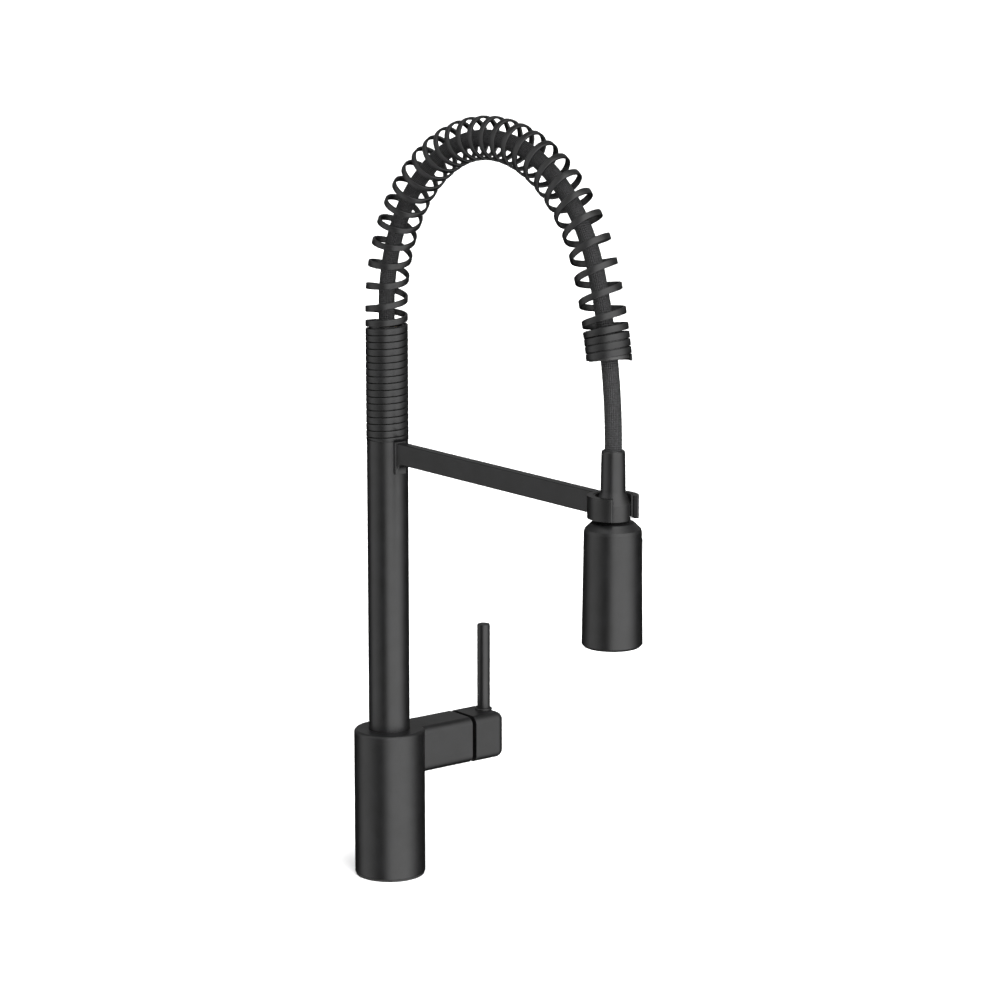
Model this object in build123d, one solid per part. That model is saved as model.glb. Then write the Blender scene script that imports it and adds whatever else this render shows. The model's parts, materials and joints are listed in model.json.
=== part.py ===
from build123d import *
from math import atan2, cos, exp, pi, radians, sin, tan
import os

# Pre-rinse faucet with a spring-supported hose, a docking arm and a pull-down spray head.
# Millimetres. +Z is up, and z = 0 is the deck that the base stands on. The spray head is on -Y and the
# mixing lever is on +X. The origin is on the axis of the base and riser.

# Base and its side branch
DECK_GASKET = 1.5
BASE_R = 26.2
BASE_TOP = 111.2
BASE_ROUND = 2.5
BASE_WALL = 2.5
TOP_PLATE = 5.0
BRANCH_END = 64.8
BRANCH_WIDTH = 33.0
BRANCH_LOW = 76.0
BRANCH_TOP_ROUND = 5.5
BRANCH_LOW_ROUND = 7.0
AXIS_Z = (BRANCH_LOW + BASE_TOP) / 2

# Shank and its hardware under the deck
SHANK_R = 16.0
SHANK_BORE = 12.5
SHANK_LOW = -62.0
DECK_THICKNESS = 30.0
WASHER_R = 26.0
WASHER_LOW = -34.5
NUT_TOP = -37.0
CLAMP_R = 2.0

# Valve and cartridge
BLOCK_R = 21.0
BLOCK_LOW = 60.0
BLOCK_TOP = 92.0
SPIGOT_R = 11.3
SPIGOT_TOP = 125.0
INLET_R = 4.5
INLET_OFFSET = 6.6
SOCKET_R = 12.8
SOCKET_END = 56.0
POCKET_R = 11.6
PIVOT_X = 52.0

# Handle
SEAM = 3.6
HUB_NEAR = BRANCH_END + SEAM
HUB_END = 95.6
HUB_ROUND = 6.0
STEM_SIZE = 7.0
LEVER_X = 87.7
LEVER_R = 4.85
LEVER_TOP = 177.6

# Riser
RISER_R = 15.1
RISER_BORE = 13.4
RISER_LOW = 95.0
RISER_TOP = 328.6
COLLAR_R = 18.5
COLLAR_TOP = 102.0
HEAD_TUBE_R = 13.35
HEAD_TUBE_BORE = 8.5
HEAD_TUBE_LOW = 318.0
HEAD_TUBE_TOP = 412.0
HEAD_GROOVE = 322.5
NUT_SEAT = 396.0
SPRING_SEAT_R = 13.05

# Docking arm, holder and spray head, all centred on the head's axis
REACH = 257.3
ARM_LOW = 312.4
ARM_TOP = 327.8
ARM_THICK = 8.0
ARM_MID = (ARM_LOW + ARM_TOP) / 2
ARM_SCREWS = {309.0: 3.5, 315.2: 8.5}
PAD_LOW = 305.0
PAD_WIDTH = 10.0
RING_R = 17.4
RING_BORE = 13.5
LINER_BORE = 12.3
SCREW_R = 1.5
HALF_MOUTH = 40.0
NECK_TOP = 358.0
HEAD_TOP = 308.2
HEAD_LOW = 224.5
HEAD_R_TOP = 19.5
HEAD_R_LOW = 20.6
HEAD_WALL = 2.2
HEAD_TURN = -30.0
BUTTON_Z = 286.0
BUTTON_WIDTH = 13.0
BUTTON_HEIGHT = 24.0
BUTTON_FACE_R = 20.0
CORE_R = 10.0
FACE_LOW = 225.3
NOZZLE_R = 0.85

# Hose and spring
HOSE_R = 5.85
HOSE_BORE = 4.0
HOSE_START = 406.0
HOSE_FINISH = 337.0
ARCH_START = 424.2
ARCH_R1 = 133.1
ARCH_A1 = 63.0
ARCH_R2 = 118.2
ARCH_A2 = 161.5
SPRING_R = 15.4
RIBBON_THICK = 1.8
RIBBON_WIDTH = 4.6
CLOSE_PITCH = 4.98
OPEN_PITCH = 16.2
APEX_DROP = 0.23
APEX_SPREAD = 80.0
CLOSE_LENGTH = 78.5
RAMP_LENGTH = 22.0
END_LENGTH = 17.0
STEPS_PER_TURN = 12


# ---------------------------------------------------------------- helpers

def cyl(radius, low, high, x=0.0, y=0.0):
    """A vertical cylinder between two heights."""
    return Pos(x, y, low) * Cylinder(radius, high - low, align=(Align.CENTER, Align.CENTER, Align.MIN))


def tube(outer, inner, low, high, x=0.0, y=0.0):
    return cyl(outer, low, high, x, y) - cyl(inner, low - 1, high + 1, x, y)


def lying(radius, start, end, y=0.0, z=AXIS_Z):
    """A cylinder along X between two places."""
    bar = Cylinder(radius, end - start, align=(Align.CENTER, Align.CENTER, Align.MIN))
    return Pos(start, y, z) * Rot(0, 90, 0) * bar


def lying_tube(outer, inner, start, end):
    return lying(outer, start, end) - lying(inner, start - 1, end + 1)


def along_y(radius, start, end, height):
    """A cylinder along Y between two places, over the Z axis."""
    return Pos(0, (start + end) / 2, height) * Rot(90, 0, 0) * Cylinder(radius, abs(end - start))


def block(x0, x1, y0, y1, z0, z1):
    box = Box(x1 - x0, y1 - y0, z1 - z0, align=(Align.MIN, Align.MIN, Align.MIN))
    return Pos(x0, y0, z0) * box


def turned(points, y=0.0):
    """A solid of revolution about a vertical axis, from (radius, height) points."""
    face = Plane.XZ * make_face(Polyline(*points, close=True))
    return Pos(0, y, 0) * revolve(face, Axis.Z)


def o_ring(major, minor, height, y=0.0):
    return Pos(0, y, height) * Torus(major, minor)


def hexagon(across, low, high, x=0.0, y=0.0):
    prism = extrude(RegularPolygon(across / 2, 6, major_radius=False), high - low)
    return Pos(x, y, low) * prism


def edges_along(part, axis, keep):
    """The straight edges of a part along an axis, whose middle passes a test."""
    return part.edges().filter_by(axis).filter_by(lambda e: keep(e.center()))


def write(name, shape):
    solids = [Solid(s.wrapped) for s in shape.solids()]
    export_step(solids[0] if len(solids) == 1 else Compound(children=solids), f"parts/{name}.step")


# ---------------------------------------------------------------- base

def rounded_bar(start, end, low_round, top_round, shrink=0.0):
    """The branch's section, drawn along X and rounded along its four long edges."""
    half = BRANCH_WIDTH / 2 - shrink
    bar = block(start, end, -half, half, BRANCH_LOW + shrink, BASE_TOP - shrink)
    bar = fillet(edges_along(bar, Axis.X, lambda c: c.Z > AXIS_Z), top_round)
    return fillet(edges_along(bar, Axis.X, lambda c: c.Z < AXIS_Z), low_round)


def base_housing():
    can = cyl(BASE_R, DECK_GASKET, BASE_TOP)
    can = fillet(can.edges().filter_by(GeomType.CIRCLE).sort_by(Axis.Z)[-1], BASE_ROUND)
    can = chamfer(can.edges().filter_by(GeomType.CIRCLE).sort_by(Axis.Z)[0], 0.6)
    shell = can + rounded_bar(0, BRANCH_END, BRANCH_LOW_ROUND, BRANCH_TOP_ROUND)
    shell -= cyl(BASE_R - BASE_WALL, 0, BASE_TOP - TOP_PLATE)
    hollow = rounded_bar(20, BRANCH_END + 1, BRANCH_LOW_ROUND - 2, BRANCH_TOP_ROUND - 2, 2.0)
    shell -= hollow & block(20, 80, -20, 20, 0, BASE_TOP - 2.0)
    return shell - cyl(RISER_R + 0.3, 100, 120)


def valve_body():
    body = cyl(BLOCK_R, BLOCK_LOW, BLOCK_TOP)
    body += cyl(SPIGOT_R, BLOCK_TOP, SPIGOT_TOP)
    body += lying(10.8, 19.6, 23.2)
    body -= cyl(7.5, 84, SPIGOT_TOP + 1)
    body -= cyl(SHANK_R + 0.05, BLOCK_LOW - 1, 69.8)
    for side in (-1, 1):
        body -= cyl(INLET_R, 69, 79, y=side * INLET_OFFSET)
    body -= lying(6.45, 15.0, 24)
    for height in (103.0, 115.0):
        body -= tube(SPIGOT_R + 1, SPIGOT_R - 0.45, height - 1.3, height + 1.3)
    return body


def cartridge_socket():
    socket = lying(6.4, 20.0, 26.2) + lying(SOCKET_R, 26, SOCKET_END)
    return socket - lying(POCKET_R, 36, SOCKET_END + 1) - lying(3.0, 15, 40)


def cartridge_body():
    cup = lying(11.5, 36, 54) - lying(9.5, 40, 55)
    for angle in (0, 120, 240):
        port = Pos(0, 5.2 * cos(radians(angle)), 5.2 * sin(radians(angle)))
        cup -= port * lying(1.8, 35, 41)
    return cup


def fixed_disc():
    disc = lying(9.4, 40, 43.4)
    for angle in (0, 120, 240):
        port = Pos(0, 5.2 * cos(radians(angle)), 5.2 * sin(radians(angle)))
        disc -= port * lying(1.8, 35, 45)
    return disc


def cartridge_nut():
    nut = lying(11.5, 54.1, SOCKET_END) + lying(SOCKET_R, SOCKET_END, 61.5)
    nut -= lying(8.8, 50, 62)
    for angle in range(0, 360, 60):
        slot = Rot(angle, 0, 0) * block(59.5, 62, -1.2, 1.2, 10.6, 14)
        nut -= Pos(0, 0, AXIS_Z) * slot
    return nut


def bonnet():
    """The dome that shows in the seam, centred on the lever's pivot."""
    radius, hole, near = 16.8, 8.5, 11.0
    edge = (radius ** 2 - near ** 2) ** 0.5
    tip = (radius ** 2 - hole ** 2) ** 0.5
    dome = ThreePointArc((edge, near), (near, edge), (hole, tip))
    rim = near - 1.4
    outline = Polyline((hole, tip), (hole, rim), (edge, rim), (edge, near)).edges() + [dome]
    cap = revolve(Plane.XZ * make_face(Wire(outline)), Axis.Z)
    return Pos(PIVOT_X, 0, AXIS_Z) * Rot(0, 90, 0) * cap


def clamp_places():
    """Where the three clamping screws stand, round the mounting nut."""
    return [(21.2 * cos(radians(angle)), 21.2 * sin(radians(angle))) for angle in (0, 120, 240)]


def mounting_nut():
    top = NUT_TOP
    nut = hexagon(46, top - 13, top) + cyl(28, top - 3, top) - cyl(SHANK_R + 0.05, top - 14, top + 1)
    for x, y in clamp_places():
        nut -= cyl(CLAMP_R + 0.05, top - 14, top + 1, x, y)
    return nut


def clamp_screws():
    screws = []
    for x, y in clamp_places():
        screw = cyl(CLAMP_R, NUT_TOP - 16, WASHER_LOW, x, y) + hexagon(7, NUT_TOP - 20, NUT_TOP - 16, x, y)
        screws.append(screw.solid())
    return Compound(children=screws)


def under_deck():
    """The gasket on the deck, and what clamps the faucet from below."""
    return {
        "deck_gasket": tube(25.4, SHANK_R + 0.6, 0, DECK_GASKET),
        "mounting_shank": tube(SHANK_R, SHANK_BORE, SHANK_LOW, 69.8),
        "base_plate": tube(BASE_R - BASE_WALL - 0.2, SHANK_R + 0.05, DECK_GASKET, 7.0),
        "under_deck_gasket": tube(WASHER_R, SHANK_R + 0.4, WASHER_LOW + 2, -DECK_THICKNESS),
        "clamp_washer": tube(WASHER_R, SHANK_R + 0.4, WASHER_LOW, WASHER_LOW + 2),
        "mounting_nut": mounting_nut(),
        "clamp_screws": clamp_screws(),
    }


def base_group():
    parts = {
        "base_housing": base_housing(),
        "valve_body": valve_body(),
        "cartridge_socket": cartridge_socket(),
        "cartridge_body": cartridge_body(),
        "fixed_disc": fixed_disc(),
        "cartridge_nut": cartridge_nut(),
        "bonnet": bonnet(),
        "thrust_washer": tube(COLLAR_R, SPIGOT_R + 0.3, BLOCK_TOP, RISER_LOW - 0.1),
        "swivel_bush": tube(19.4, RISER_R + 0.08, COLLAR_TOP + 0.2, BASE_TOP - TOP_PLATE),
        "swivel_o_rings": Compound(children=[o_ring(12.2, 1.12, h).solid() for h in (103.0, 115.0)]),
    }
    parts.update(under_deck())
    return parts


# ---------------------------------------------------------------- handle

def carrier_group():
    """What turns for hot and cold: the cartridge's carrier, its disc and its cross pin."""
    carrier = lying(9.4, 47, 54) + lying(8.7, 54, 58)
    carrier -= block(46, 59, -3.8, 3.8, AXIS_Z - 6.5, AXIS_Z + 6.5)
    carrier -= Pos(PIVOT_X, 0, AXIS_Z) * Rot(90, 0, 0) * Cylinder(1.25, 30)
    disc = lying(7.4, 43.4, 46.8) - lying(2.0, 40, 48)
    pin = Pos(PIVOT_X, 0, AXIS_Z) * Rot(90, 0, 0) * Cylinder(1.2, 17)
    return {"cartridge_carrier": carrier, "moving_disc": disc, "pivot_pin": pin}


def stem():
    bar = block(49.6, 84.0, -3.5, 3.5, AXIS_Z - 3.5, AXIS_Z + 3.5)
    bar = chamfer(edges_along(bar, Axis.X, lambda c: True), 0.6)
    tip = Pos(48.9, 0, AXIS_Z) * Sphere(1.7)
    bar += tip
    return bar - Pos(PIVOT_X, 0, AXIS_Z) * Rot(90, 0, 0) * Cylinder(1.25, 30)


def handle_hub():
    hub = block(HUB_NEAR, HUB_END, -BRANCH_WIDTH / 2, BRANCH_WIDTH / 2, BRANCH_LOW, BASE_TOP)
    hub = fillet(hub.edges().filter_by(lambda e: e.center().X > HUB_NEAR + 0.1), HUB_ROUND)
    hub -= lying(11.8, 60, 71)
    hub -= block(60, 84.2, -3.6, 3.6, AXIS_Z - 3.6, AXIS_Z + 3.6)
    hub -= cyl(2.1, BRANCH_LOW - 1, AXIS_Z, x=79)
    hub -= cyl(3.6, BRANCH_LOW - 1, BRANCH_LOW + 4, x=79)
    hub -= cyl(3.05, AXIS_Z, BASE_TOP + 1, x=LEVER_X)
    return hub


def lever_rod():
    rod = cyl(3.0, AXIS_Z + 1, BASE_TOP, x=LEVER_X) + cyl(LEVER_R, BASE_TOP, LEVER_TOP, x=LEVER_X)
    rod = fillet(rod.edges().filter_by(GeomType.CIRCLE).sort_by(Axis.Z)[-1], 1.2)
    flange = cyl(6.4, BASE_TOP, BASE_TOP + 1.4, x=LEVER_X)
    return rod + fillet(flange.edges().filter_by(GeomType.CIRCLE).sort_by(Axis.Z)[-1], 0.9)


def handle_group():
    return {
        "mixer_stem": stem(),
        "handle_hub": handle_hub(),
        "lever_rod": lever_rod(),
        "hub_set_screw": cyl(2.0, AXIS_Z - 11.5, AXIS_Z - 3.6, x=79),
        "hub_plug": cyl(3.55, BRANCH_LOW + 0.2, BRANCH_LOW + 3.6, x=79),
    }


# ---------------------------------------------------------------- riser and docking arm

def hollow_arc(root, edge, size):
    """A quarter arc, hollow towards the arm, from its edge to its root."""
    dip = abs(size) * (1 - cos(radians(45)))
    middle = (root - dip, edge + dip * (1 if size > 0 else -1))
    return ThreePointArc((root - abs(size), edge), middle, (root, edge + size))


def arm_bar(start, root, end):
    """The arm's flat bar, which flares in hollow curves where it meets its root pad."""
    low, high = -6.0, 0.6
    outline = Polyline((root, ARM_LOW + low), (start, ARM_LOW + low), (start, ARM_TOP + high)).edges()
    outline += Polyline((start, ARM_TOP + high), (root, ARM_TOP + high)).edges()
    outline += [hollow_arc(root, ARM_TOP, high), hollow_arc(root, ARM_LOW, low)]
    outline += Polyline((root - high, ARM_TOP), (end, ARM_TOP), (end, ARM_LOW), (root + low, ARM_LOW)).edges()
    bar = extrude(Plane.YZ * make_face(Wire(outline)), ARM_THICK / 2, both=True)
    return fillet(edges_along(bar, Axis.Y, lambda c: True), 1.0)


def docking_arm():
    """A flat bar with a flared root that saddles the riser."""
    start, root, end = -RISER_R + 1.4, -RISER_R - 1.6, -REACH + RING_R - 1.2
    pad = block(-PAD_WIDTH / 2, PAD_WIDTH / 2, root, start, PAD_LOW, RISER_TOP - 0.1)
    pad = fillet(edges_along(pad, Axis.Z, lambda c: c.Y < start), 1.0)
    arm = arm_bar(start, root, end) + pad
    arm -= cyl(RISER_R + 0.02, 290, 340)
    for height, length in ARM_SCREWS.items():
        arm -= along_y(SCREW_R + 0.05, -13 - length, -RISER_R + 10, height)
    return arm - along_y(SCREW_R + 0.05, end - 12, end + 12, ARM_MID)


def mouth(radius, low, high):
    """The wedge that opens the holder towards -Y."""
    reach = radius * 2
    span = reach * tan(radians(HALF_MOUTH))
    wedge = make_face(Polyline((0, 0), (-span, -reach), (span, -reach), close=True))
    return Pos(0, -REACH, low) * extrude(wedge, high - low)


def holder_ring():
    ring = tube(RING_R, RING_BORE, ARM_LOW, ARM_TOP, y=-REACH)
    ring -= mouth(RING_R, ARM_LOW - 1, ARM_TOP + 1)
    ring = fillet(edges_along(ring, Axis.Z, lambda c: True), 0.9)
    flat = block(-20, 20, -REACH + RING_R - 1.2, -REACH + 30, ARM_LOW - 1, ARM_TOP + 1)
    ring -= flat
    ring -= along_y(SCREW_R + 0.1, -REACH + 7, -REACH + 27, ARM_MID)
    return ring - along_y(3.0, -REACH + RING_BORE - 1.2, -REACH + RING_BORE + 1.2, ARM_MID)


def holder_liner():
    liner = tube(RING_BORE - 0.02, LINER_BORE, ARM_LOW + 0.3, ARM_TOP - 0.3, y=-REACH)
    return liner - mouth(RING_R, ARM_LOW - 1, ARM_TOP + 1)


def screw_along_y(start, towards, height, length):
    """A flat-headed screw along Y: its head starts at one place and its shank runs towards -1 or +1."""
    head_height = 1.0
    under_head = start + towards * head_height
    head = along_y(2.6, start, under_head, height)
    return head + along_y(SCREW_R, under_head, under_head + towards * length, height)


def riser_tube():
    wall = tube(RISER_R, RISER_BORE, RISER_LOW, RISER_TOP)
    for height in ARM_SCREWS:
        wall -= along_y(SCREW_R + 0.1, -RISER_R - 4, -RISER_R + 4, height)
    return wall


def riser_head():
    """The inner tube that joins the riser to the hose, and that the spring is wound on."""
    head = tube(HEAD_TUBE_R, HEAD_TUBE_BORE, HEAD_TUBE_LOW, HEAD_TUBE_TOP)
    head -= cyl(11.6, NUT_SEAT, HEAD_TUBE_TOP + 1)
    head -= tube(HEAD_TUBE_R + 1, SPRING_SEAT_R, RISER_TOP, HEAD_TUBE_TOP + 1)
    return head - tube(HEAD_TUBE_R + 1, HEAD_TUBE_R - 1.5, HEAD_GROOVE - 1.2, HEAD_GROOVE + 1.2)


def grub_places():
    return [Pos(0, 0, (RISER_LOW + COLLAR_TOP) / 2) * Rot(0, 0, angle) for angle in (30, 150, 270)]


def swivel_collar():
    collar = tube(COLLAR_R, RISER_R + 0.02, RISER_LOW, COLLAR_TOP)
    for place in grub_places():
        collar -= place * Pos(COLLAR_R, 0, 0) * Rot(0, 90, 0) * Cylinder(1.5, 12)
    return collar


def collar_screws():
    grub = Pos(16.75, 0, 0) * Rot(0, 90, 0) * Cylinder(1.45, 3.1)
    return Compound(children=[(place * grub).solid() for place in grub_places()])


def riser_group():
    arm_screws = [screw_along_y(-11.9, -1, height, length).solid() for height, length in ARM_SCREWS.items()]
    return {
        "riser_tube": riser_tube(),
        "swivel_collar": swivel_collar(),
        "collar_screws": collar_screws(),
        "docking_arm": docking_arm(),
        "arm_screws": Compound(children=arm_screws),
        "holder_ring": holder_ring(),
        "ring_screw": screw_along_y(-REACH + RING_BORE + 0.1, 1, ARM_MID, 12.0),
        "holder_liner": holder_liner(),
    }


# ---------------------------------------------------------------- hose and spring

def arch_point(distance):
    """The hose's centre line: its place, tangent and outward normal, at a distance above the riser."""
    y, z, heading = 0.0, RISER_TOP, 0.0
    straight = ARCH_START - RISER_TOP
    if distance <= straight:
        return Vector(0, 0, z + distance), Vector(0, 0, 1), Vector(0, 1, 0)
    z, left = ARCH_START, distance - straight
    for radius, finish in ARCS:
        turn = min(left / radius, radians(finish) - heading)
        y -= radius * (cos(heading) - cos(heading + turn))
        z += radius * (sin(heading + turn) - sin(heading))
        heading += turn
        left -= radius * turn
        if left <= 1e-9:
            break
    place = Vector(0, y - left * sin(heading), z + left * cos(heading))
    return place, Vector(0, -sin(heading), cos(heading)), Vector(0, cos(heading), sin(heading))


def last_arc_radius():
    """The third arc ends straight down on the spray head's axis."""
    a1, a2 = radians(ARCH_A1), radians(ARCH_A2)
    covered = ARCH_R1 * (1 - cos(a1)) + ARCH_R2 * (cos(a1) - cos(a2))
    return (REACH - covered) / (1 + cos(a2))


ARCS = [(ARCH_R1, ARCH_A1), (ARCH_R2, ARCH_A2), (last_arc_radius(), 180.0)]
ARCH_APEX = ARCH_START - RISER_TOP + ARCH_R1 * radians(ARCH_A1) + ARCH_R2 * radians(90 - ARCH_A1)
ARC_3_START = ARCH_APEX + ARCH_R2 * radians(ARCH_A2 - 90)
SPRING_END = ARC_3_START + 60.5


def smooth(value):
    value = min(1.0, max(0.0, value))
    return value * value * (3 - 2 * value)


def pitch_at(distance):
    """The spring's pitch: close on the riser and at its end, open between, and tighter at the apex."""
    dip = 1 - APEX_DROP * exp(-((distance - ARCH_APEX) / APEX_SPREAD) ** 2)
    opening = smooth((distance - CLOSE_LENGTH) / RAMP_LENGTH)
    closing = smooth((SPRING_END - END_LENGTH - distance) / RAMP_LENGTH)
    return CLOSE_PITCH + (OPEN_PITCH * dip - CLOSE_PITCH) * opening * closing


def ribbon_section(turn, distance):
    """The ribbon's cross-section after so many turns of the spring."""
    centre, ahead, outward = arch_point(distance)
    angle = 2 * pi * turn
    radial = Vector(1, 0, 0) * cos(angle) + outward * sin(angle)
    around = Vector(-1, 0, 0) * sin(angle) + outward * cos(angle)
    radius = SPRING_R - RIBBON_THICK / 2
    lean = atan2(pitch_at(distance), 2 * pi * radius)
    plane = Plane(origin=centre + radial * radius, x_dir=radial, z_dir=around * cos(lean) + ahead * sin(lean))
    return plane * Rectangle(RIBBON_THICK, RIBBON_WIDTH)


def spring_group():
    """The close turns, the arch cut at every turn, and the close turns at its end."""
    sections, places = [], []
    distance = RIBBON_WIDTH / 2 + 0.1
    while distance < SPRING_END - RIBBON_WIDTH / 2:
        sections.append(ribbon_section(len(sections) / STEPS_PER_TURN, distance))
        places.append(distance)
        middle = distance + pitch_at(distance) / STEPS_PER_TURN / 2
        distance += pitch_at(middle) / STEPS_PER_TURN
    close = sum(1 for place in places if place < CLOSE_LENGTH)
    close -= close % STEPS_PER_TURN
    end = sum(1 for place in places if place < SPRING_END - END_LENGTH - 3)
    end -= end % STEPS_PER_TURN
    turns = []
    for first in range(close, end, STEPS_PER_TURN):
        turns.append(loft(sections[first:first + STEPS_PER_TURN + 1]).solid())
    print("spring turns:", close // STEPS_PER_TURN, len(turns), (len(sections) - 1 - end) / STEPS_PER_TURN)
    return {
        "spring_foot": loft(sections[:close + 1]),
        "spring_arch": Compound(children=turns),
        "spring_end": loft(sections[end:]),
    }


def hose_length(start, end, radius):
    """A stretch of the hose between two distances, as straight runs and tangent arcs."""
    joints = [ARCH_START - RISER_TOP]
    heading = 0.0
    for arc_radius, finish in ARCS:
        joints.append(joints[-1] + arc_radius * (radians(finish) - heading))
        heading = radians(finish)
    stops = [start] + [j for j in joints if start + 0.1 < j < end - 0.1] + [end]
    edges = []
    for first, last in zip(stops, stops[1:]):
        p0, t0 = arch_point(first)[:2]
        p1, t1 = arch_point(last)[:2]
        middle = arch_point((first + last) / 2)[0]
        straight = t0.cross(t1).length < 1e-6
        edges.append(Edge.make_line(p0, p1) if straight else Edge.make_three_point_arc(p0, middle, p1))
    place, ahead = arch_point(start)[:2]
    section = Plane(origin=place, x_dir=Vector(1, 0, 0), z_dir=ahead) * Circle(radius)
    return sweep(section, path=Wire(edges))


def hose(start, end):
    return hose_length(start, end, HOSE_R) - hose_length(start, end, HOSE_BORE)


def hose_ends():
    """The distances along the centre line where the hose starts, is cut at the joint, and ends."""
    vertical = ARC_3_START + last_arc_radius() * radians(180 - ARCH_A2)
    finish = vertical + arch_point(vertical)[0].Z - HOSE_FINISH
    return HOSE_START - RISER_TOP, SPRING_END - END_LENGTH, finish


def end_bush():
    """The bush that centres the hose in the spring's last turns."""
    place, ahead = arch_point(SPRING_END - END_LENGTH / 2)[:2]
    plane = Plane(origin=place, x_dir=Vector(1, 0, 0), z_dir=ahead)
    outer = SPRING_R - RIBBON_THICK - 0.1
    return plane * (Cylinder(outer, END_LENGTH - 4) - Cylinder(HOSE_R + 0.15, END_LENGTH))


def hose_nut():
    nut = hexagon(18.6, NUT_SEAT + 1.5, NUT_SEAT + 8) + cyl(9.0, NUT_SEAT + 8, NUT_SEAT + 14)
    nut -= cyl(HOSE_R + 0.02, HOSE_START, NUT_SEAT + 16)
    return nut - cyl(3.5, NUT_SEAT, NUT_SEAT + 16)


def hose_tail():
    """The barbed fitting at the hose's end, which turns in the neck."""
    y = -REACH
    tail = cyl(HOSE_BORE - 0.05, HOSE_FINISH, HOSE_FINISH + 12, y=y)
    tail += cyl(6.6, HOSE_FINISH - 3.6, HOSE_FINISH, y=y)
    tail += cyl(4.92, HOSE_FINISH - 15, HOSE_FINISH - 3.6, y=y)
    tail -= tube(6, 4.0, HOSE_FINISH - 11, HOSE_FINISH - 9.8, y=y)
    return tail - cyl(2.6, HOSE_FINISH - 16, HOSE_FINISH + 13, y=y)


def hose_group():
    start, cut, finish = hose_ends()
    print("hose length:", round(finish - start, 1))
    return {
        "riser_head": riser_head(),
        "riser_head_o_ring": o_ring(HEAD_TUBE_R - 0.75, 0.72, HEAD_GROOVE),
        "hose_washer": tube(11.4, 5.0, NUT_SEAT, NUT_SEAT + 1.5),
        "hose_nut": hose_nut(),
        "hose_arch": hose(start, cut),
        "hose_drop": hose(cut, finish),
        "hose_ferrule": tube(6.9, HOSE_R + 0.03, HOSE_FINISH, HOSE_FINISH + 9, y=-REACH),
        "hose_tail": hose_tail(),
        "tail_o_ring": o_ring(4.5, 0.45, HOSE_FINISH - 10.4, y=-REACH),
        "spring_end_bush": end_bush(),
    }


# ---------------------------------------------------------------- spray head

def neck():
    """The tapered neck, which flares out to fill the holder."""
    taper = [(7.3, NECK_TOP), (7.9, NECK_TOP - 0.8), (8.05, NECK_TOP - 3), (8.45, 331.5)]
    flare = Spline((8.45, 331.5), (9.6, 327.2), (11.9, 322), tangents=[(0.02, -1), (0.35, -1)])
    below = [(11.9, 322), (11.9, 311.2), (10.4, 309.4), (10.4, 302)]
    inside = [(5, 302), (5, 333), (7.1, 333), (7.1, 347), (6.2, 351), (6.2, NECK_TOP), (7.3, NECK_TOP)]
    profile = Polyline(*taper).edges() + [flare] + Polyline(*below, *inside).edges()
    return revolve(Plane.XZ * make_face(Wire(profile)), Axis.Z)


def head_shell():
    collar = 10.6
    shoulder = [(collar, HEAD_TOP + 1.4), (14.6, HEAD_TOP + 1), (HEAD_R_TOP - 0.6, HEAD_TOP - 3.2)]
    side = [(HEAD_R_TOP, HEAD_TOP - 5.2), (HEAD_R_LOW, HEAD_LOW + 1.6), (HEAD_R_LOW - 1.4, HEAD_LOW)]
    rim = [(HEAD_R_LOW - 3.2, HEAD_LOW), (HEAD_R_LOW - 3.2, HEAD_LOW + 6), (HEAD_R_LOW - 2.6, HEAD_LOW + 6.8)]
    inside = [(HEAD_R_TOP - HEAD_WALL, HEAD_TOP - 6), (13.6, HEAD_TOP - 2), (collar, HEAD_TOP - 2)]
    return turned(shoulder + side + rim + inside) - button_outline(0.35, 10, 30)


def button_outline(gap, start, end):
    """The button's rounded outline, drawn out along X."""
    face = RectangleRounded(BUTTON_WIDTH + 2 * gap, BUTTON_HEIGHT + 2 * gap, 5.0 + gap)
    return extrude(Pos(start, 0, BUTTON_Z) * (Plane.YZ * face), end - start)


def spray_button():
    cap = button_outline(0, 12, 30) & tube(BUTTON_FACE_R, 15.4, 260, 310)
    cap = fillet(cap.faces().sort_by(Axis.X)[-1].edges(), 0.8)
    return cap + (button_outline(1.3, 12, 30) & tube(17.0, 15.4, 260, 310))


def diverter_plunger():
    rod = lying(2.6, 5.0, 15.1, z=BUTTON_Z)
    return rod - lying(3.5, 6.2, 7.4, z=BUTTON_Z) + lying(2.0, 6.2, 7.4, z=BUTTON_Z)


def button_spring():
    """A small compression coil round the plunger."""
    coil, wire, turns, start, length = 3.9, 0.32, 4, 10.7, 3.6
    sections = []
    for step in range(turns * 8 + 1):
        angle = 2 * pi * step / 8
        x = start + length * step / (turns * 8)
        radial = Vector(0, cos(angle), sin(angle))
        ahead = Vector(length / turns / (2 * pi * coil), -sin(angle), cos(angle))
        plane = Plane(origin=Vector(x, 0, BUTTON_Z) + radial * coil, x_dir=radial, z_dir=ahead)
        sections.append(plane * Circle(wire))
    return loft(sections)


def head_core():
    """The moulded waterway inside the head, from the neck to the spray face."""
    core = cyl(CORE_R, 236, 300.8) + cyl(4.9, 300.8, 313) + cyl(16.6, 232.4, 237)
    core -= cyl(3.0, 288, 314)
    core -= cyl(2.0, 240, 289)
    core -= cyl(13.0, 232, 234.4) - cyl(7.0, 232, 234.4)
    core -= lying(2.7, 3.0, 12, z=BUTTON_Z)
    core -= lying(4.6, 9.2, 12, z=BUTTON_Z)
    return core - cyl(5.3, 232, 242)


def nozzle_places():
    """Two rings of nozzles round the aerator."""
    for ring_r, count in ((9.2, 14), (13.6, 22)):
        for index in range(count):
            angle = 2 * pi * index / count
            yield ring_r * cos(angle), ring_r * sin(angle)


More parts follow.
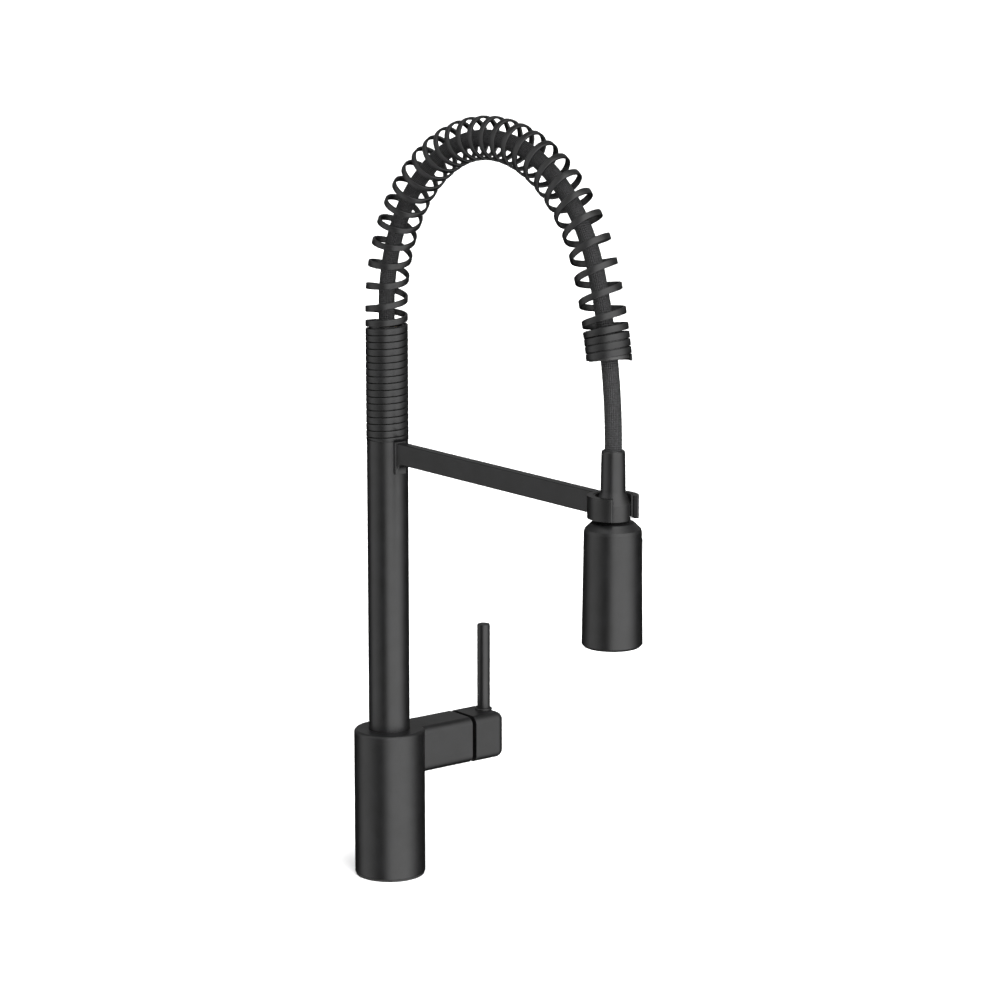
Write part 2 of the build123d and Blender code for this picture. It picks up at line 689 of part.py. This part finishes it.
def spray_face():
    face = cyl(17.1, FACE_LOW, FACE_LOW + 3.4) - cyl(5.6, FACE_LOW - 1, FACE_LOW + 5)
    face = chamfer(face.edges().filter_by(GeomType.CIRCLE).sort_by(Axis.Z)[0:2], 0.4)
    for x, y in nozzle_places():
        face -= cyl(NOZZLE_R + 0.05, FACE_LOW - 1, FACE_LOW + 5, x, y)
    return face


def nozzle_mat():
    mat = tube(16.8, 5.7, FACE_LOW + 3.4, FACE_LOW + 5.0)
    nubs = [cyl(NOZZLE_R, FACE_LOW - 0.9, FACE_LOW + 3.6, x, y) for x, y in nozzle_places()]
    holes = [cyl(0.4, FACE_LOW - 2, FACE_LOW + 6, x, y) for x, y in nozzle_places()]
    return (mat + nubs) - holes


def aerator_screen():
    disc = cyl(4.0, FACE_LOW + 1.2, FACE_LOW + 2.0)
    spots = [(x, y) for x in range(-3, 4) for y in range(-3, 4) if x * x + y * y < 11]
    return disc - [Pos(x, y, FACE_LOW + 1.6) * Box(0.62, 0.62, 3) for x, y in spots]


def at_head(shape):
    """Moves a piece from the Z axis to the head's axis, with the head swivelled as it hangs."""
    return Pos(0, -REACH, 0) * Rot(0, 0, HEAD_TURN) * shape


def head_group():
    parts = {
        "neck": neck(),
        "head_shell": head_shell(),
        "head_core": head_core(),
        "check_valve": tube(2.9, 1.2, 296, 308),
        "nozzle_mat": nozzle_mat(),
        "spray_face": spray_face(),
        "aerator": tube(5.2, 4.1, FACE_LOW + 0.3, FACE_LOW + 10),
        "aerator_screen": aerator_screen(),
        "core_seal": tube(9.6, 5.1, 300.8, 302.0),
        "button_spring": button_spring(),
        "spray_button": spray_button(),
        "diverter_plunger": diverter_plunger(),
        "plunger_o_ring": Pos(6.8, 0, BUTTON_Z) * Rot(0, 90, 0) * Torus(2.33, 0.3),
    }
    return {name: at_head(shape) for name, shape in parts.items()}


os.makedirs("parts", exist_ok=True)
for group in (base_group, carrier_group, handle_group, riser_group, hose_group, spring_group, head_group):
    for node, solid in group().items():
        write(node, solid)
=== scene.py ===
import json
import math

import bpy
from mathutils import Matrix, Vector


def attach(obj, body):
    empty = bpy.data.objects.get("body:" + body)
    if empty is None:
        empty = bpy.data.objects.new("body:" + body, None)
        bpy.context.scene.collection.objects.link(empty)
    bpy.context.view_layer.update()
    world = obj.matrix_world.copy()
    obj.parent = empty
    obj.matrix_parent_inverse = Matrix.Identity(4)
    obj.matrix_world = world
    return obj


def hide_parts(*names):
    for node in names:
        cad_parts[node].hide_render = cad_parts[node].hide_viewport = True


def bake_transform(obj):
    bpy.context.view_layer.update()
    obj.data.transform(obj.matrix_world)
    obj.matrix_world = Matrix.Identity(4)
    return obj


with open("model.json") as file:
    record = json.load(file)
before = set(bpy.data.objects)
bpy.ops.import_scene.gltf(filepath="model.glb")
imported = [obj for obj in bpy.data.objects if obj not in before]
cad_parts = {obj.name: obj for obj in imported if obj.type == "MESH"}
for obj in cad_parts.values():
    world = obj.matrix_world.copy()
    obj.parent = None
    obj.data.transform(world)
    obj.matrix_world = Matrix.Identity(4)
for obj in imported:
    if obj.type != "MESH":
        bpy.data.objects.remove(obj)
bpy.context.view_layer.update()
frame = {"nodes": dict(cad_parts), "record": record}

MM = 0.001

# The arch's centre line, in millimetres, as the CAD source lays it out
REACH = 257.3
RISER_TOP = 328.6
ARCH_START = 424.2
ARCH_R1, ARCH_A1 = 133.1, 63.0
ARCH_R2, ARCH_A2 = 118.2, 161.5
HOSE_START, HOSE_FINISH, HOSE_R = 406.0, 337.0, 5.85
HOSE_RINGS, HOSE_SIDES = 320, 32

# The spring's flat ribbon
SPRING_R = 15.4
RIBBON_THICK, RIBBON_WIDTH, RIBBON_ROUND = 1.8, 4.6, 0.55
CLOSE_PITCH, OPEN_PITCH = 4.98, 16.2
APEX_DROP, APEX_SPREAD = 0.23, 80.0
CLOSE_LENGTH, RAMP_LENGTH, END_LENGTH = 78.5, 22.0, 17.0
SEAT_GAP = 0.1
STEPS_PER_TURN = 48

# The shank's thread
SHANK_R, SHANK_BORE = 16.0, 12.5
SHANK_LOW, SHANK_TOP = -62.0, 69.8
THREAD_TOP, THREAD_PITCH, THREAD_DEPTH = -3.0, 1.5, 0.85
THREAD_SIDES, THREAD_STEPS_PER_TURN = 72, 8
THREAD_CREASE = 50.0

# The hose's weave: how far its yarns turn round it over its length, and how many cross
WEAVE_TURNS, WEAVE_YARNS = 12.0, 14

# Camera: where it stands round the object, and what it is aimed at
CAMERA_AZIMUTH, CAMERA_ELEVATION = -37.66, 11.43
CAMERA_DISTANCE, CAMERA_LENS = 2484.7, 119.84
AIM_RIGHT, AIM_UP = 81.81, 277.47

# The studio's two soft lights, in degrees to the right of the camera: where each one starts, where it is
# full from and to, and where it ends. Its brightness comes last.
FILL_LIGHT = (-120, -90, -70, -25, 0.35)
KEY_LIGHT = (-20, 5, 50, 110, 1.0)
STUDIO_STRENGTH = 6.0

# The overhead light: its brightness, and the rise of direction at which it is full
OVERHEAD, OVERHEAD_FULL = 0.05, 0.15

FLOOR_SIZE = 20.0


# ---------------------------------------------------------------- the centre line

def last_arc_radius():
    """The third arc ends straight down on the spray head's axis."""
    a1, a2 = math.radians(ARCH_A1), math.radians(ARCH_A2)
    covered = ARCH_R1 * (1 - math.cos(a1)) + ARCH_R2 * (math.cos(a1) - math.cos(a2))
    return (REACH - covered) / (1 + math.cos(a2))


ARCS = ((ARCH_R1, ARCH_A1), (ARCH_R2, ARCH_A2), (last_arc_radius(), 180.0))
APEX = ARCH_START - RISER_TOP + ARCH_R1 * math.radians(ARCH_A1) + ARCH_R2 * math.radians(90 - ARCH_A1)
ARC_3_START = APEX + ARCH_R2 * math.radians(ARCH_A2 - 90)
SPRING_END = ARC_3_START + 60.5


def arch_point(distance):
    """The centre line's place, direction and outward normal, at a distance above the riser's top."""
    straight = ARCH_START - RISER_TOP
    if distance <= straight:
        return Vector((0, 0, RISER_TOP + distance)), Vector((0, 0, 1)), Vector((0, 1, 0))
    y, z, heading, left = 0.0, ARCH_START, 0.0, distance - straight
    for radius, finish in ARCS:
        turn = min(left / radius, math.radians(finish) - heading)
        y -= radius * (math.cos(heading) - math.cos(heading + turn))
        z += radius * (math.sin(heading + turn) - math.sin(heading))
        heading += turn
        left -= radius * turn
    ahead = Vector((0, -math.sin(heading), math.cos(heading)))
    return Vector((0, y, z)) + ahead * left, ahead, Vector((0, math.cos(heading), math.sin(heading)))


def smooth(value):
    value = min(1.0, max(0.0, value))
    return value * value * (3 - 2 * value)


def pitch_at(distance):
    """Close on the riser and at the spring's end, open between, and tighter at the apex."""
    dip = 1 - APEX_DROP * math.exp(-((distance - APEX) / APEX_SPREAD) ** 2)
    opening = smooth((distance - CLOSE_LENGTH) / RAMP_LENGTH)
    closing = smooth((SPRING_END - END_LENGTH - distance) / RAMP_LENGTH)
    return CLOSE_PITCH + (OPEN_PITCH * dip - CLOSE_PITCH) * opening * closing


# ---------------------------------------------------------------- meshes

def skin(name, rings, capped=True):
    """A smooth mesh through rings of points, given in millimetres. A UV map counts rings along V."""
    count = len(rings[0])
    points = [p * MM for ring in rings for p in ring]
    faces, corners = [], []
    for i in range(len(rings) - 1):
        for j in range(count):
            k = (j + 1) % count
            faces.append((i * count + j, i * count + k, (i + 1) * count + k, (i + 1) * count + j))
            corners += [(j, i), (j + 1, i), (j + 1, i + 1), (j, i + 1)]
    if capped:
        last = (len(rings) - 1) * count
        faces.append(tuple(reversed(range(count))))
        faces.append(tuple(range(last, last + count)))
        corners += [(0, 0)] * (2 * count)
    mesh = bpy.data.meshes.new(name)
    mesh.from_pydata(points, [], faces)
    layer = mesh.uv_layers.new(name="UVMap")
    layer.data.foreach_set("uv", [x for u, v in corners for x in (u / count, v / (len(rings) - 1))])
    mesh.polygons.foreach_set("use_smooth", [True] * len(faces))
    piece = bpy.data.objects.new(name, mesh)
    bpy.context.scene.collection.objects.link(piece)
    return piece


def ribbon_outline():
    """The flat ribbon's rounded cross-section: offsets across its thickness and along its width."""
    half_x, half_y = RIBBON_THICK / 2 - RIBBON_ROUND, RIBBON_WIDTH / 2 - RIBBON_ROUND
    outline = []
    for corner, (sx, sy) in enumerate(((1, 1), (-1, 1), (-1, -1), (1, -1))):
        for step in range(4):
            angle = math.radians(90 * corner + 30 * step)
            outline.append((sx * half_x + RIBBON_ROUND * math.cos(angle),
                            sy * half_y + RIBBON_ROUND * math.sin(angle)))
    return outline


def ribbon_ring(turn, distance, outline):
    """The ribbon's section after so many turns, leaning by the spring's pitch."""
    centre, ahead, outward = arch_point(distance)
    angle = 2 * math.pi * turn
    radial = Vector((1, 0, 0)) * math.cos(angle) + outward * math.sin(angle)
    around = Vector((-1, 0, 0)) * math.sin(angle) + outward * math.cos(angle)
    radius = SPRING_R - RIBBON_THICK / 2
    lean = math.atan2(pitch_at(distance), 2 * math.pi * radius)
    along = around * math.cos(lean) + ahead * math.sin(lean)
    across = along.cross(radial)
    return [centre + radial * (radius + x) + across * y for x, y in outline]


def ground(point, distance):
    """The spring's foot is ground flat where it stands on the riser."""
    if distance > 2 * CLOSE_PITCH:
        return point
    return Vector((point.x, point.y, max(point.z, RISER_TOP + SEAT_GAP)))


def coil_spring():
    """The whole spring as one ribbon, from its close turns on the riser to those at its end."""
    outline = ribbon_outline()
    rings = []
    distance = RIBBON_WIDTH / 2 + SEAT_GAP - CLOSE_PITCH
    while distance < SPRING_END - RIBBON_WIDTH / 2:
        ring = ribbon_ring(len(rings) / STEPS_PER_TURN, distance, outline)
        rings.append([ground(point, distance) for point in ring])
        distance += pitch_at(distance) / STEPS_PER_TURN
    return skin("coil_spring", rings)


def woven_hose():
    """The hose inside the spring, in one length from the riser's fitting to the head's."""
    vertical = ARC_3_START + last_arc_radius() * math.radians(180 - ARCH_A2)
    finish = vertical + arch_point(vertical)[0].z - HOSE_FINISH
    start = HOSE_START - RISER_TOP
    rings = []
    for i in range(HOSE_RINGS + 1):
        centre, _, outward = arch_point(start + (finish - start) * i / HOSE_RINGS)
        ring = []
        for j in range(HOSE_SIDES):
            angle = 2 * math.pi * j / HOSE_SIDES
            ring.append(centre + HOSE_R * (Vector((math.cos(angle), 0, 0)) + outward * math.sin(angle)))
        rings.append(ring)
    return skin("woven_hose", rings)


def threaded_shank():
    """The hollow shank, with its thread cut below the deck."""
    steps = int((THREAD_TOP - SHANK_LOW) / THREAD_PITCH * THREAD_STEPS_PER_TURN)

    def ring(z, radius_at):
        points = []
        for j in range(THREAD_SIDES):
            angle = 2 * math.pi * j / THREAD_SIDES
            radius = radius_at(angle, z)
            points.append(Vector((radius * math.cos(angle), radius * math.sin(angle), z)))
        return points

    def thread(angle, z):
        phase = (z / THREAD_PITCH - angle / (2 * math.pi)) % 1.0
        cut = abs(2 * phase - 1)
        fade = min(1.0, (THREAD_TOP - z) / THREAD_PITCH, (z - SHANK_LOW) / THREAD_PITCH)
        return SHANK_R - THREAD_DEPTH * cut * max(0.0, fade)

    def plain(radius):
        return lambda angle, z: radius

    heights = [SHANK_LOW + (THREAD_TOP - SHANK_LOW) * i / steps for i in range(steps + 1)]
    rings = [ring(SHANK_LOW, plain(SHANK_R - THREAD_DEPTH))]
    rings += [ring(z, thread) for z in heights]
    rings += [ring(SHANK_TOP, plain(SHANK_R)), ring(SHANK_TOP, plain(SHANK_BORE))]
    rings += [ring(SHANK_LOW, plain(SHANK_BORE)), ring(SHANK_LOW, plain(SHANK_R - THREAD_DEPTH))]
    piece = skin("threaded_shank", rings, capped=False)
    piece.data.set_sharp_from_angle(angle=math.radians(THREAD_CREASE))
    return piece


# ---------------------------------------------------------------- materials

class Surface:
    """A node material, with short calls for the textures that its colour, gloss and relief come from."""

    def __init__(self, name, metallic, specular):
        self.material = bpy.data.materials.new(name)
        self.material.use_nodes = True
        self.tree = self.material.node_tree
        self.shader = self.tree.nodes["Principled BSDF"]
        self.shader.inputs["Metallic"].default_value = metallic
        self.shader.inputs["Specular IOR Level"].default_value = specular
        self.place = self.node("ShaderNodeTexCoord").outputs["Object"]

    def node(self, kind, **settings):
        made = self.tree.nodes.new(kind)
        for key, value in settings.items():
            setattr(made, key, value)
        return made

    def join(self, output, socket):
        self.tree.links.new(output, socket)

    def noise(self, size, detail=3.0, stretch=(1, 1, 1)):
        """Noise whose features are about this many metres across."""
        mapping = self.node("ShaderNodeMapping")
        mapping.inputs["Scale"].default_value = stretch
        texture = self.node("ShaderNodeTexNoise")
        texture.inputs["Scale"].default_value = 1 / size
        texture.inputs["Detail"].default_value = detail
        self.join(self.place, mapping.inputs["Vector"])
        self.join(mapping.outputs["Vector"], texture.inputs["Vector"])
        return texture.outputs["Fac"]

    def colour(self, factor, dark, light):
        ramp = self.node("ShaderNodeValToRGB")
        ramp.color_ramp.elements[0].position = 0.35
        ramp.color_ramp.elements[0].color = (*dark, 1)
        ramp.color_ramp.elements[1].position = 0.65
        ramp.color_ramp.elements[1].color = (*light, 1)
        self.join(factor, ramp.inputs["Fac"])
        self.join(ramp.outputs["Color"], self.shader.inputs["Base Color"])

    def roughness(self, factor, low, high):
        spread = self.node("ShaderNodeMapRange")
        spread.inputs["From Min"].default_value = 0.3
        spread.inputs["From Max"].default_value = 0.7
        spread.inputs["To Min"].default_value = low
        spread.inputs["To Max"].default_value = high
        self.join(factor, spread.inputs["Value"])
        self.join(spread.outputs["Result"], self.shader.inputs["Roughness"])

    def relief(self, factor, depth, strength=1.0):
        bump = self.node("ShaderNodeBump")
        bump.inputs["Strength"].default_value = strength
        bump.inputs["Distance"].default_value = depth
        self.join(factor, bump.inputs["Height"])
        self.join(bump.outputs["Normal"], self.shader.inputs["Normal"])

    def sine(self, value, turns):
        """sin(2 pi turns value)"""
        scaled = self.node("ShaderNodeMath", operation="MULTIPLY")
        scaled.inputs[1].default_value = 2 * math.pi * turns
        wave = self.node("ShaderNodeMath", operation="SINE")
        self.join(value, scaled.inputs[0])
        self.join(scaled.outputs[0], wave.inputs[0])
        return wave.outputs[0]

    def maths(self, operation, first, second):
        made = self.node("ShaderNodeMath", operation=operation)
        self.join(first, made.inputs[0])
        self.join(second, made.inputs[1])
        return made.outputs[0]


def powder_coat(name, dark, light, low, high):
    """Matte black powder coat: a fine pebbled skin, slightly uneven in tone and gloss."""
    surface = Surface(name, 0.0, 0.22)
    surface.colour(surface.noise(0.012), dark, light)
    surface.roughness(surface.noise(0.02), low, high)
    surface.relief(surface.noise(0.0005, 2.0), 0.00003, 0.5)
    return surface.material


def machined(name, dark, light, low, high):
    """Bare turned metal, with fine marks round it."""
    surface = Surface(name, 1.0, 0.5)
    surface.colour(surface.noise(0.006), dark, light)
    surface.roughness(surface.noise(0.004), low, high)
    surface.relief(surface.noise(0.0006, 2.0, (1, 1, 6)), 0.00003, 0.4)
    return surface.material


def moulded(name, dark, light, low, high, grain):
    """Moulded plastic or rubber, with a fine grain."""
    surface = Surface(name, 0.0, 0.35)
    surface.colour(surface.noise(0.008), dark, light)
    surface.roughness(surface.noise(0.003), low, high)
    surface.relief(surface.noise(grain), 0.00004, 0.5)
    return surface.material


def woven_nylon():
    """The hose's cover: two sets of yarns that cross on the slant."""
    surface = Surface("hose_black", 0.0, 0.25)
    split = surface.node("ShaderNodeSeparateXYZ")
    surface.join(surface.node("ShaderNodeTexCoord").outputs["UV"], split.inputs["Vector"])
    around, along = split.outputs["X"], split.outputs["Y"]
    turned = surface.node("ShaderNodeMath", operation="MULTIPLY")
    turned.inputs[1].default_value = WEAVE_TURNS
    surface.join(along, turned.inputs[0])
    left = surface.sine(surface.maths("ADD", around, turned.outputs[0]), WEAVE_YARNS)
    right = surface.sine(surface.maths("SUBTRACT", around, turned.outputs[0]), WEAVE_YARNS)
    weave = surface.maths("MULTIPLY", left, right)
    surface.colour(surface.noise(0.0012), (0.004, 0.004, 0.004), (0.012, 0.012, 0.013))
    surface.roughness(surface.noise(0.004), 0.5, 0.62)
    surface.relief(weave, 0.0003, 0.8)
    return surface.material


def make_materials():
    """One material for each material slot of the record."""
    return {
        "matte_black": powder_coat("matte_black", (0.0035,) * 3, (0.005, 0.005, 0.0053), 0.33, 0.40),
        "spring_black": powder_coat("spring_black", (0.0035,) * 3, (0.005, 0.005, 0.0053), 0.36, 0.44),
        "brass": machined("brass", (0.52, 0.36, 0.15), (0.66, 0.49, 0.24), 0.22, 0.38),
        "steel": machined("steel", (0.42, 0.43, 0.44), (0.58, 0.59, 0.60), 0.20, 0.36),
        "rubber": moulded("rubber", (0.010,) * 3, (0.018,) * 3, 0.6, 0.75, 0.0008),
        "black_plastic": moulded("black_plastic", (0.007,) * 3, (0.011,) * 3, 0.42, 0.52, 0.0006),
        "ceramic": moulded("ceramic", (0.74, 0.72, 0.68), (0.82, 0.80, 0.77), 0.12, 0.2, 0.002),
        "hose_black": woven_nylon(),
        "silicone": moulded("silicone", (0.05, 0.05, 0.052), (0.07, 0.07, 0.072), 0.5, 0.6, 0.0009),
    }


def dress(materials):
    """Gives every CAD node the material of its slot in the record."""
    for part in frame["record"]["subparts"]:
        mesh = frame["nodes"][part["node"]].data
        mesh.materials.clear()
        mesh.materials.append(materials[part["material_slot"]])


# ---------------------------------------------------------------- setting

def camera_axes():
    """The camera's right, up and backward directions, and the level direction from the object to it."""
    azimuth, elevation = math.radians(CAMERA_AZIMUTH), math.radians(CAMERA_ELEVATION)
    right = Vector((math.cos(azimuth), math.sin(azimuth), 0))
    level = Vector((math.sin(azimuth), -math.cos(azimuth), 0))
    back = level * math.cos(elevation) + Vector((0, 0, math.sin(elevation)))
    return right, back.cross(right), back, level


def add_camera():
    right, up, back, _ = camera_axes()
    data = bpy.data.cameras.new("camera")
    data.lens = CAMERA_LENS
    data.clip_end = 100
    camera = bpy.data.objects.new("camera", data)
    place = (right * AIM_RIGHT + up * AIM_UP + back * CAMERA_DISTANCE) * MM
    turn = Matrix((right, up, back)).transposed().to_4x4()
    camera.matrix_world = Matrix.Translation(place) @ turn
    bpy.context.scene.collection.objects.link(camera)
    bpy.context.scene.camera = camera


def bearing_share(tree, direction):
    """A direction's bearing from 0 to 1: 0.5 is the camera's own side, and more is to its right."""
    right, _, _, level = camera_axes()
    turn = tree.nodes.new("ShaderNodeMath")
    turn.operation = "ARCTAN2"
    for axis, socket in ((right, turn.inputs[0]), (level, turn.inputs[1])):
        dot = tree.nodes.new("ShaderNodeVectorMath")
        dot.operation = "DOT_PRODUCT"
        dot.inputs[1].default_value = axis
        tree.links.new(direction, dot.inputs[0])
        tree.links.new(dot.outputs["Value"], socket)
    share = tree.nodes.new("ShaderNodeMapRange")
    share.inputs["From Min"].default_value = -math.pi
    share.inputs["From Max"].default_value = math.pi
    tree.links.new(turn.outputs[0], share.inputs["Value"])
    return share.outputs["Result"]


def overhead_glow(tree, direction):
    """A faint even light from above the horizon, for the faces that look up."""
    split = tree.nodes.new("ShaderNodeSeparateXYZ")
    tree.links.new(direction, split.inputs["Vector"])
    rise = tree.nodes.new("ShaderNodeMapRange")
    rise.inputs["From Max"].default_value = OVERHEAD_FULL
    rise.inputs["To Max"].default_value = OVERHEAD
    tree.links.new(split.outputs["Z"], rise.inputs["Value"])
    return rise.outputs["Result"]


def light_steps():
    """The bearings at which the studio's brightness starts or stops changing, each with its brightness."""
    steps = [(-180, 0.0)]
    for start, full_from, full_to, end, brightness in (FILL_LIGHT, KEY_LIGHT):
        steps += [(start, 0.0), (full_from, brightness), (full_to, brightness), (end, 0.0)]
    return steps


def upright_bands(tree, direction):
    """The studio's soft lights, as upright bands with soft edges."""
    steps = light_steps()
    bands = tree.nodes.new("ShaderNodeValToRGB")
    bands.color_ramp.interpolation = "EASE"
    elements = bands.color_ramp.elements
    while len(elements) < len(steps):
        elements.new(0.5)
    for element, (bearing, brightness) in zip(elements, steps):
        element.position = bearing / 360 + 0.5
        element.color = (brightness, brightness, brightness, 1)
    tree.links.new(bearing_share(tree, direction), bands.inputs["Fac"])
    return bands.outputs["Color"]


def add_world():
    """White to the eye, but lit by a wide soft light and a dimmer one, each as tall as the studio."""
    world = bpy.data.worlds.new("studio")
    world.use_nodes = True
    tree = world.node_tree
    direction = tree.nodes.new("ShaderNodeTexCoord").outputs["Generated"]
    total = tree.nodes.new("ShaderNodeMath")
    total.operation = "ADD"
    tree.links.new(upright_bands(tree, direction), total.inputs[0])
    tree.links.new(overhead_glow(tree, direction), total.inputs[1])
    lit = tree.nodes["Background"]
    lit.inputs["Strength"].default_value = STUDIO_STRENGTH
    tree.links.new(total.outputs[0], lit.inputs["Color"])
    seen = tree.nodes.new("ShaderNodeBackground")
    seen.inputs["Color"].default_value = (1, 1, 1, 1)
    choice = tree.nodes.new("ShaderNodeMixShader")
    tree.links.new(tree.nodes.new("ShaderNodeLightPath").outputs["Is Camera Ray"], choice.inputs[0])
    tree.links.new(lit.outputs[0], choice.inputs[1])
    tree.links.new(seen.outputs[0], choice.inputs[2])
    tree.links.new(choice.outputs[0], tree.nodes["World Output"].inputs["Surface"])
    bpy.context.scene.world = world


def add_floor():
    """A pale floor on the deck's level, with a faint unevenness, that the faucet doesn't mirror."""
    corners = [(x * FLOOR_SIZE, y * FLOOR_SIZE, 0) for x, y in ((-1, -1), (1, -1), (1, 1), (-1, 1))]
    mesh = bpy.data.meshes.new("floor")
    mesh.from_pydata(corners, [], [(0, 1, 2, 3)])
    floor = bpy.data.objects.new("floor", mesh)
    bpy.context.scene.collection.objects.link(floor)
    surface = Surface("floor", 0.0, 0.1)
    surface.colour(surface.noise(0.3), (0.93,) * 3, (0.95,) * 3)
    surface.roughness(surface.noise(0.2), 0.8, 0.9)
    mesh.materials.append(surface.material)
    floor.visible_glossy = False


# ---------------------------------------------------------------- the scene

bpy.context.scene.view_settings.view_transform = "Standard"
add_camera()
add_world()
add_floor()

materials = make_materials()
dress(materials)

spring = coil_spring()
spring.data.materials.append(materials["spring_black"])
hose = woven_hose()
hose.data.materials.append(materials["hose_black"])
for piece in (spring, hose):
    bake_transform(piece)
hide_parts("spring_foot", "spring_arch", "spring_end")
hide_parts("hose_arch", "hose_drop")

shank = threaded_shank()
shank.data.materials.append(materials["brass"])
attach(shank, "base")
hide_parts("mounting_shank")
